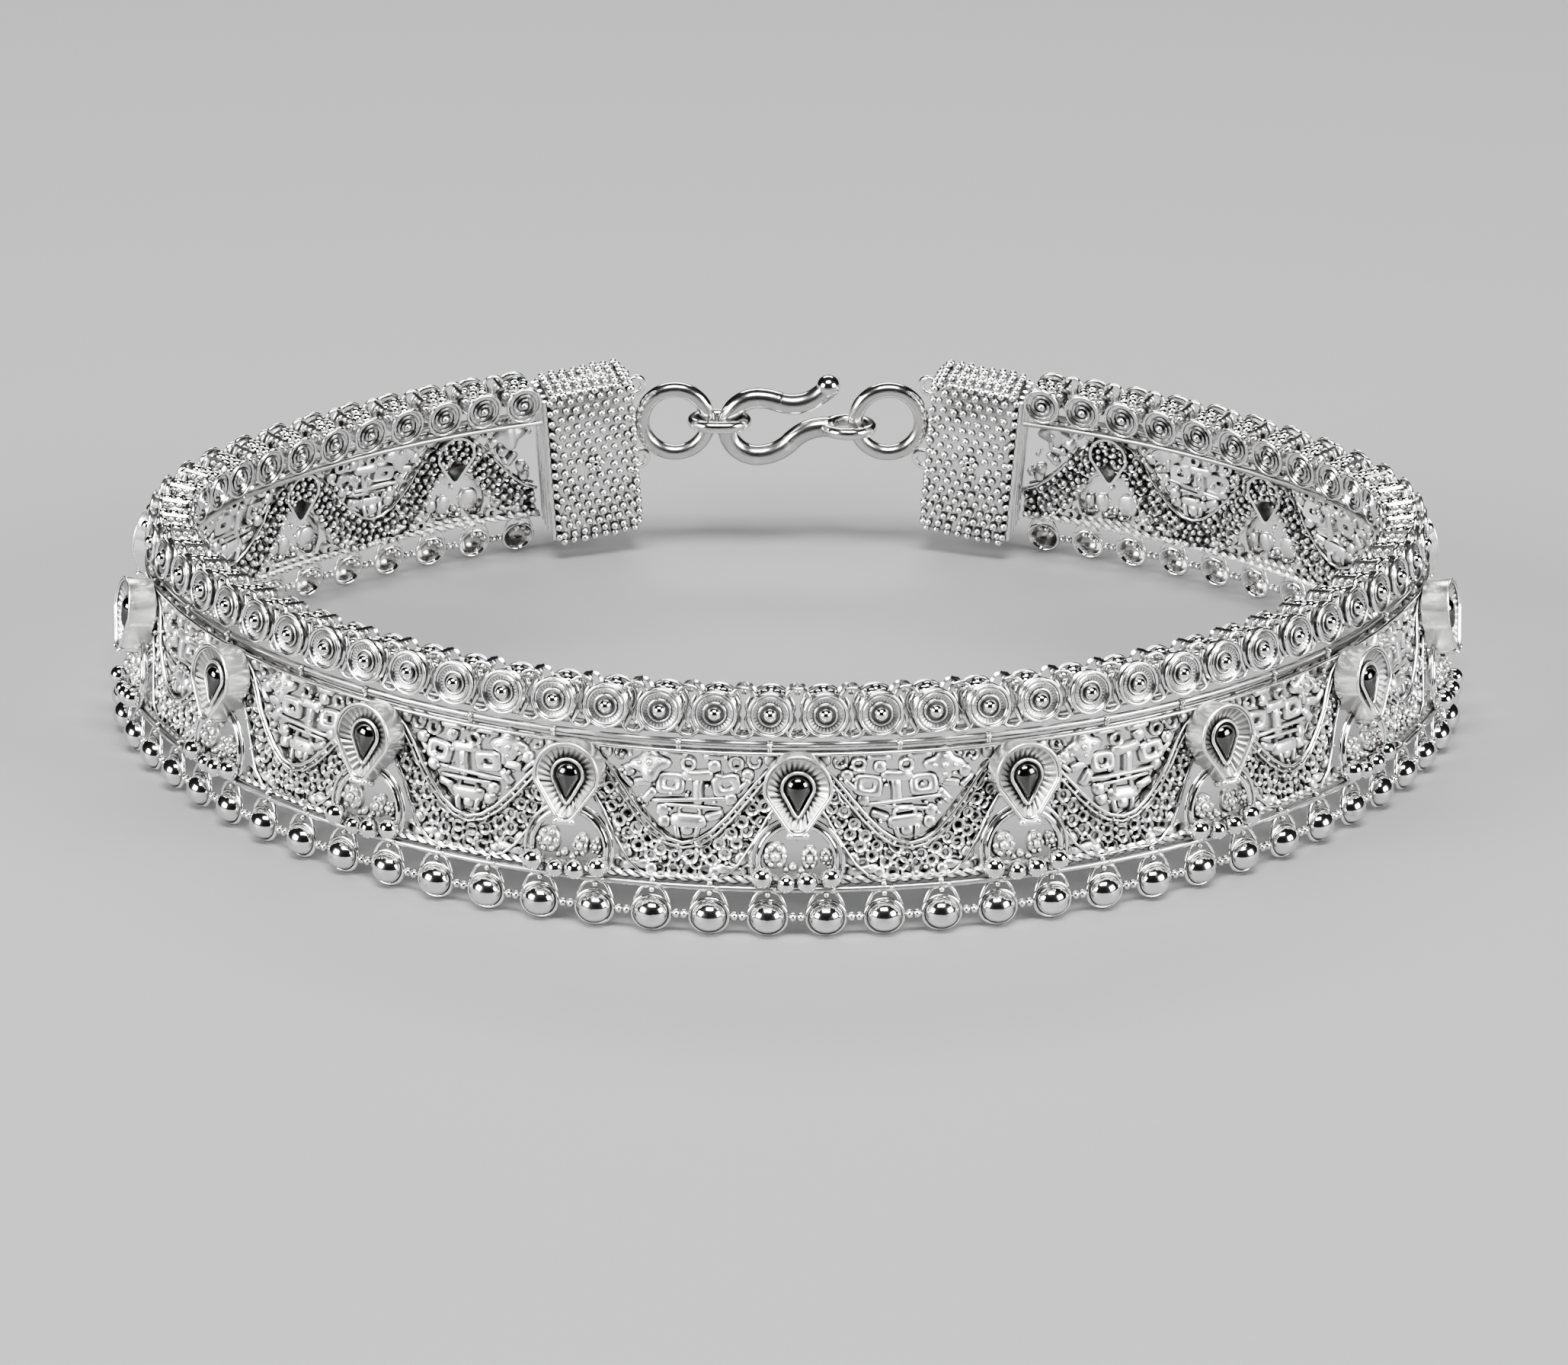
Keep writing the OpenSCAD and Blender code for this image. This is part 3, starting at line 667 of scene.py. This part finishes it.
LINK_OUT = 0.9
LINK_BACK = -1.1
STRUT_V = 1.65
CHEEK_WIRE = (0.14, 0.16, 0.2, 0.22, 0.2, 0.18, 0.2, 0.2, 0.18, 0.15, 0.12)
cheeks = []
for side in (-1, 1):
    bulge = [(side * 0.62, -1.45, LINK_OUT), (side * 0.4, -0.95, LINK_OUT), (side * 0.24, -0.45, LINK_OUT),
             (side * 0.42, 0.0, LINK_OUT), (side * 0.26, 0.5, LINK_OUT), (side * 0.5, 1.1, LINK_OUT)]
    cheeks.append(tube(soft_path(bulge, len(CHEEK_WIRE)), CHEEK_WIRE, 6))
struts = [tube([(0, y, LINK_OUT), (0, y, -0.1), (0, y, LINK_BACK)], 0.14, 4, across=(1, 0, 0))
          for y in (-STRUT_V, STRUT_V)]
link = joined(oval(0.98, 1.72, 0.15, LINK_OUT), oval(0.85, 1.62, 0.14, LINK_BACK, 16, 4), *cheeks, *struts,
              moved(ball(0.22, 6, 4), -0.5, -1.1, 0.7), moved(ball(0.22, 6, 4), 0.5, -1.1, 0.7),
              moved(ball(0.3, 6, 4), up=1.35, out=0.1), moved(ball(0.3, 6, 4), up=1.4, out=-0.5))
piece("rosette_links", standing(link, gap_places, ROSETTE_V, ROSETTE_OUT), drawn_wire, "filigree_silver")
HIGH_PEG_V = 11.75
LOW_PEG_V = 2.05
peg = joined(tube([(0, -0.45, 0), (0, 0, 0), (0, 0.35, 0)], 0.2, 6),
             moved(ball(0.24, 8, 4), up=0.1, out=0.12))
high_pegs = np.concatenate([bead_places[1::4], bead_places[3::4] + 1.4])
pegs = joined(standing(peg, high_pegs, HIGH_PEG_V, -0.45), standing(peg, bead_places, LOW_PEG_V, -0.1))
piece("rail_pegs", pegs, drawn_wire, "filigree_silver")

# Drop settings
# Teardrop boxes of sheet that stand off the wall, tip down on a tip bar, and
# slope in, milled with fine flutes, to a plain bezel. Under each, an arched band
# and wire hold three nuggets, loose grains and four polished balls.
DROP_V = 9.3
CRESCENT_V = 3.9
FLUTES = 28


def drop_line(r, tip, foot, count):
    """A teardrop line, round above, straight to a blunt foot, its points evenly spaced."""
    a = np.radians(np.linspace(-14, 194, 41))
    arc = np.stack([r * np.cos(a), r * np.sin(a)], -1)
    points = np.concatenate([arc, [(-foot, 0.1 - tip), (0, -tip), (foot, 0.1 - tip)], arc[:1]])
    at = np.concatenate([[0], np.cumsum(np.linalg.norm(np.diff(points, axis=0), axis=1))])
    where = np.arange(count) * at[-1] / count
    return np.stack([np.interp(where, at, points[:, 0]), np.interp(where, at, points[:, 1])], -1)


def drop_ring(r, tip, foot, out, cut=0.0):
    """One line round a drop's wall; where it is cut, every third point sinks into a flute."""
    ring_points = level(drop_line(r, tip, foot, 3 * FLUTES), out)
    ring_points[1::3, 2] -= cut
    return ring_points


def drop_wire(r, tip, foot, out, wire, sides=5):
    return tube(level(drop_line(r, tip, foot, 44), out), wire, sides, closed=True)


def arc_line(r, start, end, out):
    """A round arc between two angles in degrees, through 24 points."""
    a = np.radians(np.linspace(start, end, 24))
    return np.stack([r * np.cos(a), r * np.sin(a), np.full(24, float(out))], -1)


# The wall's lines, from its inner back round its foot and rim to the bezel: the
# round part's radius, the tip's drop, half the foot's width, height, flute depth
WALL_LINES = ((1.55, 2.4, 0.2, 0.75, 0), (1.75, 2.7, 0.3, 0.02, 0), (2.26, 3.2, 0.5, 0.02, 0),
              (2.34, 3.22, 0.54, 1.95, 0), (2.18, 3.04, 0.48, 1.93, 0), (2.14, 3.0, 0.46, 1.86, 0),
              (2.06, 2.9, 0.44, 1.82, 0.26), (1.22, 2.12, 0.2, 1.44, 0.2), (1.16, 2.06, 0.2, 1.28, 0),
              (1.0, 1.86, 0.16, 0.9, 0))
walls = skin([drop_ring(*line) for line in WALL_LINES])
drop_wires = [drop_wire(2.27, 3.14, 0.52, 1.98, 0.12), drop_wire(2.1, 2.96, 0.46, 1.92, 0.07, 4),
              drop_wire(1.09, 2.02, 0.18, 1.62, 0.13)]
back_wall = skin([drop_ring(1.5, 2.35, 0.2, 0.3), drop_ring(1.5, 2.35, 0.2, -1.45),
                  drop_ring(1.72, 2.6, 0.3, -1.5), drop_ring(1.72, 2.6, 0.3, 0.3)], closed=True)
tip_bar = joined(tube([(-0.55, -3.2, 1.9), (0, -3.24, 1.95), (0.55, -3.2, 1.9)], 0.22, 8),
                 moved(ball(0.28, 8, 6), -0.55, -3.2, 1.92), moved(ball(0.28, 8, 6), 0.55, -3.2, 1.92),
                 tube([(0, -3.1, 1.9), (0, -3.15, 1.0), (0, -3.2, 0.1)], 0.3, 8, across=(1, 0, 0)))
# The domed band's edges: radius and height
BAND_EDGES = ((2.44, 0.0), (2.44, 0.34), (2.58, 0.5), (2.78, 0.5), (2.9, 0.34), (2.9, 0.0))
crescent_lines = [arc_line(r, -16, 196, out) for r, out in BAND_EDGES]
crescent_band = skin(np.array(crescent_lines).transpose(1, 0, 2))
crescent = joined(tube(arc_line(3.15, -24, 204, 0.3), 0.12), crescent_band)
nugget_ring = [moved(ball(0.27, 6, 4), 0.6 * cos(a), 0.68 * sin(a), 0.3)
               for a in np.radians(range(0, 360, 60))]
nugget = joined(plate(1.7, 1.9, squareness=0.8), moved(ball(0.4, 8, 5), out=0.4), *nugget_ring)
nuggets = [moved(nugget, -1.5, 0.4, 0.1), moved(stretched(nugget, 0.68, 0.9), 0.85, 0.25, 0.1),
           moved(stretched(nugget, 0.5, 0.62), 1.95, 0.3, 0.05), moved(ball(0.34, 8, 5), -0.3, -0.4, 0.2),
           moved(ball(0.3, 8, 5), 0.3, -0.65, 0.25), moved(ball(0.26, 8, 4), -0.75, -0.6, 0.15),
           moved(ball(0.28, 8, 4), 0.0, 1.7, 0.2), moved(ball(0.26, 8, 4), 2.2, -0.45, 0.2)]
small_balls = [moved(ball(r, 14, 9), x, y, out) for x, y, out, r in
               ((-2.4, -1.0, 0.8, 0.78), (-0.75, -1.45, 0.8, 0.66), (0.65, -1.35, 0.85, 0.74),
                (2.3, -1.0, 0.8, 0.74))]
fluted = silver("fluted_sheet", clean=0.98, painted_shade=0.03, roughness=0.24,
                reach=0.22, grain_scale=2500, relief=0.15)
drops = (np.arange(MODULES) + 0.5) * MODULE_W - BAND_HALF
crescents = standing(joined(crescent, *small_balls), drops, CRESCENT_V, 0)
piece("drop_crescents", crescents, polished, "polished_silver")
piece("drop_nuggets", standing(joined(*nuggets), drops, CRESCENT_V, 0), hammered, "filigree_silver")
setting = joined(walls, back_wall, *drop_wires, tip_bar)
for i, u in enumerate(drops, 1):
    shape = standing(setting, u, DROP_V, 0)
    piece(f"setting_{i:02d}", shape, fluted, "filigree_silver", f"drop_setting_{i:02d}")

# Pears
# A polished pear of silver, high in the middle, set in the bezel of each drop.
# It is kept dark, as the photograph shows it: its colour is painted nearly black, a painted reflection of
# the dark room that polished silver mirrors.
# Painted reflection: a near-black colour stands in for the dark surroundings mirrored in polished silver.
pear_painted_dark_reflection = silver("pear_painted_dark_reflection", clean=0.16, painted_shade=0.06, roughness=0.05,
                     reach=0.35, grain_scale=900, relief=0.06)
# The pear's lines: the round part's radius, the tip's drop, half the foot's width, height
PEAR_RINGS = ((0.9, 1.75, 0.12, 1.0), (0.9, 1.75, 0.12, 1.42), (0.84, 1.66, 0.1, 1.62),
              (0.7, 1.4, 0.08, 1.82), (0.5, 1.05, 0.06, 1.95), (0.28, 0.6, 0.04, 2.02),
              (0.06, 0.16, 0.01, 2.04))
pear_shape = skin([level(drop_line(r, tip, foot, 32), out) for r, tip, foot, out in PEAR_RINGS])
for i, u in enumerate(drops, 1):
    shape = standing(pear_shape, u, DROP_V, 0)
    piece(f"pear_{i:02d}", shape, pear_painted_dark_reflection, "polished_silver", f"drop_pear_{i:02d}")

# End boxes
# Flat boxes of sheet that close the band's two ends, covered all over in grains,
# with a pearled row along each edge and a flower in the middle. Two small empty
# loops stand on the side towards the clasp.
BOX_V = 8
BOX_W = 7.8
BOX_H = 14.7
BOX_T = 4
BOX_U = BAND_HALF + 0.5 + BOX_W / 2
CLASP_RISE = 2
BOX_ROWS = 16
BOX_COLUMNS = 8
ROW_PITCH = 0.84
COLUMN_PITCH = 0.86
FLOWER_ROOM = 1.0
PEARL_INSET = 0.42
SIDE_ROWS = (-1.15, -0.38, 0.38, 1.15)


def box_ring(w, h, corner, out):
    a = np.radians(np.linspace(0, 90, 6))
    line = []
    for x, y, turn in ((w / 2 - corner, h / 2 - corner, 0), (corner - w / 2, h / 2 - corner, pi / 2),
                       (corner - w / 2, corner - h / 2, pi), (w / 2 - corner, corner - h / 2, 1.5 * pi)):
        line.append(np.stack([x + corner * np.cos(a + turn), y + corner * np.sin(a + turn)], -1))
    return level(np.concatenate(line), out)


box_body = skin([box_ring(BOX_W - 1.3, BOX_H - 1.3, 1, 0.12 - BOX_T / 2),
                 box_ring(BOX_W - 0.6, BOX_H - 0.6, 1.2, 0.4 - BOX_T / 2),
                 box_ring(BOX_W - 0.6, BOX_H - 0.6, 1.2, BOX_T / 2 - 0.4),
                 box_ring(BOX_W - 1.3, BOX_H - 1.3, 1, BOX_T / 2 - 0.12)])
box_grain = ball(0.34, 8, 4)


def box_grains(side):
    """Staggered rows of grains on both faces, pearled edges and four sides."""
    spots = []
    for face in (-1, 1):
        for row in range(BOX_ROWS):
            y = (row - (BOX_ROWS - 1) / 2) * ROW_PITCH
            columns = BOX_COLUMNS - row % 2
            for k in range(columns):
                x = (k - (columns - 1) / 2) * COLUMN_PITCH
                if x * x + y * y > FLOWER_ROOM:
                    spots.append((x, y, face * (BOX_T / 2 - 0.06)))
        for y in np.linspace(-1, 1, 14) * (BOX_H / 2 - 0.95):
            spots += [(x, y, face * (BOX_T / 2 - 0.1))
                      for x in (PEARL_INSET - BOX_W / 2, BOX_W / 2 - PEARL_INSET)]
        for x in np.linspace(-1, 1, 8) * (BOX_W / 2 - 0.8):
            spots += [(x, y, face * (BOX_T / 2 - 0.1))
                      for y in (PEARL_INSET - BOX_H / 2, BOX_H / 2 - PEARL_INSET)]
    for out in SIDE_ROWS:
        spots += [(side * (BOX_W / 2 - 0.3), y, out) for y in np.linspace(-1, 1, 17) * (BOX_H / 2 - 0.8)]
        for x in np.linspace(-1, 1, 9) * (BOX_W / 2 - 0.8):
            spots += [(x, 0.28 - BOX_H / 2, out), (x, BOX_H / 2 - 0.28, out)]
    spots = np.array(spots) + 0.035 * chance.standard_normal((len(spots), 3))
    size = 1 + 0.06 * chance.standard_normal(len(spots))
    points = spots[:, None, :] + box_grain[0] * size[:, None, None]
    quads = box_grain[1][None] + len(box_grain[0]) * np.arange(len(spots))[:, None, None]
    return points.reshape(-1, 3), quads.reshape(-1, 4)


def box_shape(side):
    loops = [moved(ring(0.7, 0.28, 18, 6), side * (BOX_W / 2 + 0.45), CLASP_RISE + z) for z in (-3.5, 3.5)]
    flower = []
    for face in (-1, 1):
        out = face * (BOX_T / 2 + 0.02)
        flower += [moved(ball(0.3, 8, 5), 0.55 * cos(a), 0.55 * sin(a), out)
                   for a in np.radians(range(0, 360, 60))]
        flower.append(moved(ring(0.25, 0.12, 12, 5), out=out + face * 0.12))
        seam = [(-side * (BOX_W / 2 - 0.05), y, face * (BOX_T / 2 - 0.25)) for y in (-6.6, 0, 6.6)]
        flower.append(tube(seam, 0.2, 6))
    inner_edge = -side * (BOX_W / 2 - 0.12)
    frame_wires = [tube([(inner_edge, y, out) for y in (-6.7, 0, 6.7)], 0.22, 6) for out in (-1.0, 0, 1.0)]
    return joined(box_body, box_grains(side), *loops, *flower, *frame_wires)


granulated = silver("granulated_sheet", clean=0.95, painted_shade=0.01, roughness=0.17,
                    reach=0.6, grain_scale=3500, relief=0.1)
for name, side in (("left", -1), ("right", 1)):
    shape = standing(box_shape(side), side * BOX_U, BOX_V, ROSETTE_OUT, side * END_SLANT)
    piece(f"granulated_box_{name}", shape, granulated, "filigree_silver", f"end_box_{name}")

# Clasp
# A heavy ring at each box, a small link, and a hook forged from thick wire
# with a ring soldered to its foot. All are polished.
for node in ("end_ring_left", "end_ring_right", "clasp_link", "clasp_hook"):
    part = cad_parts[node]
    part.data.materials.clear()
    part.data.materials.append(polished)

# Floor and light
# A plain pale table top that the anklet stands on, under large soft lamps that
# leave the room behind the camera dark, so that the domes keep dark centres.
FLOOR_W = 6
FLOOR_DROP = 0.00002
bpy.ops.mesh.primitive_plane_add(size=FLOOR_W, location=(0, 0, -FLOOR_DROP))
floor = bpy.context.object
floor.name = "floor"
paint = bpy.data.materials.new("pale_floor")
paint.use_nodes = True
paint.node_tree.nodes["Principled BSDF"].inputs["Base Color"].default_value = (0.19, 0.19, 0.193, 1)
paint.node_tree.nodes["Principled BSDF"].inputs["Roughness"].default_value = 0.7
floor.data.materials.append(paint)
floor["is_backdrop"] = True


def soft_light(name, place, target, size, power):
    light = bpy.data.lights.new(name, "AREA")
    light.shape = "RECTANGLE"
    light.size, light.size_y = size
    light.energy = power
    obj = bpy.data.objects.new(name, light)
    obj.location = place
    obj.rotation_euler = (Vector(target) - Vector(place)).to_track_quat("-Z", "Y").to_euler()
    bpy.context.scene.collection.objects.link(obj)


middle = (0, 0, 0.008)
soft_light("top_light", (0, -0.4, 1.0), middle, (0.64, 0.32), 25)
soft_light("left_light", (-0.92, -0.48, 0.44), middle, (0.56, 0.48), 25)
soft_light("right_light", (0.92, -0.48, 0.44), middle, (0.56, 0.48), 22)
soft_light("back_light", (0, 1.0, 0.84), middle, (1.0, 0.32), 10)
world = bpy.data.worlds.new("studio")
world.use_nodes = True
world.node_tree.nodes["Background"].inputs["Color"].default_value = (0.02, 0.02, 0.021, 1)
bpy.context.scene.world = world
bpy.context.scene.view_settings.look = "AgX - Medium High Contrast"

# Camera
# The photograph's place and lens: from the front, a little to one side and
# well above, from a third of a metre away.
FOCAL_PX = 5736
PHOTO_W = 2058
DISTANCE = 329.8
PITCH_DOWN = radians(22.12)
YAW = radians(1.04)
ROLL = radians(0.46)
AIM_X = -0.367
AIM_BEHIND_FRONT = 35.19
AIM_Z = 2.876 + BEAD_Z
camera = bpy.data.cameras.new("camera")
camera.sensor_width = 36
camera.lens = FOCAL_PX * camera.sensor_width / PHOTO_W
camera.clip_start = 0.01
camera_obj = bpy.data.objects.new("camera", camera)
bpy.context.scene.collection.objects.link(camera_obj)
away = Vector((AIM_X, -DISTANCE * cos(PITCH_DOWN), 0))
away.rotate(Matrix.Rotation(-YAW, 3, "Z"))
place = Vector((away.x, away.y + FRONT_Y + AIM_BEHIND_FRONT, AIM_Z + DISTANCE * sin(PITCH_DOWN))) * MM
aimed = (Matrix.Rotation(-YAW, 4, "Z") @ Matrix.Rotation(pi / 2 - PITCH_DOWN, 4, "X")
         @ Matrix.Rotation(ROLL, 4, "Z"))
camera_obj.matrix_world = Matrix.Translation(place) @ aimed
bpy.context.scene.camera = camera_obj

low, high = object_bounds()
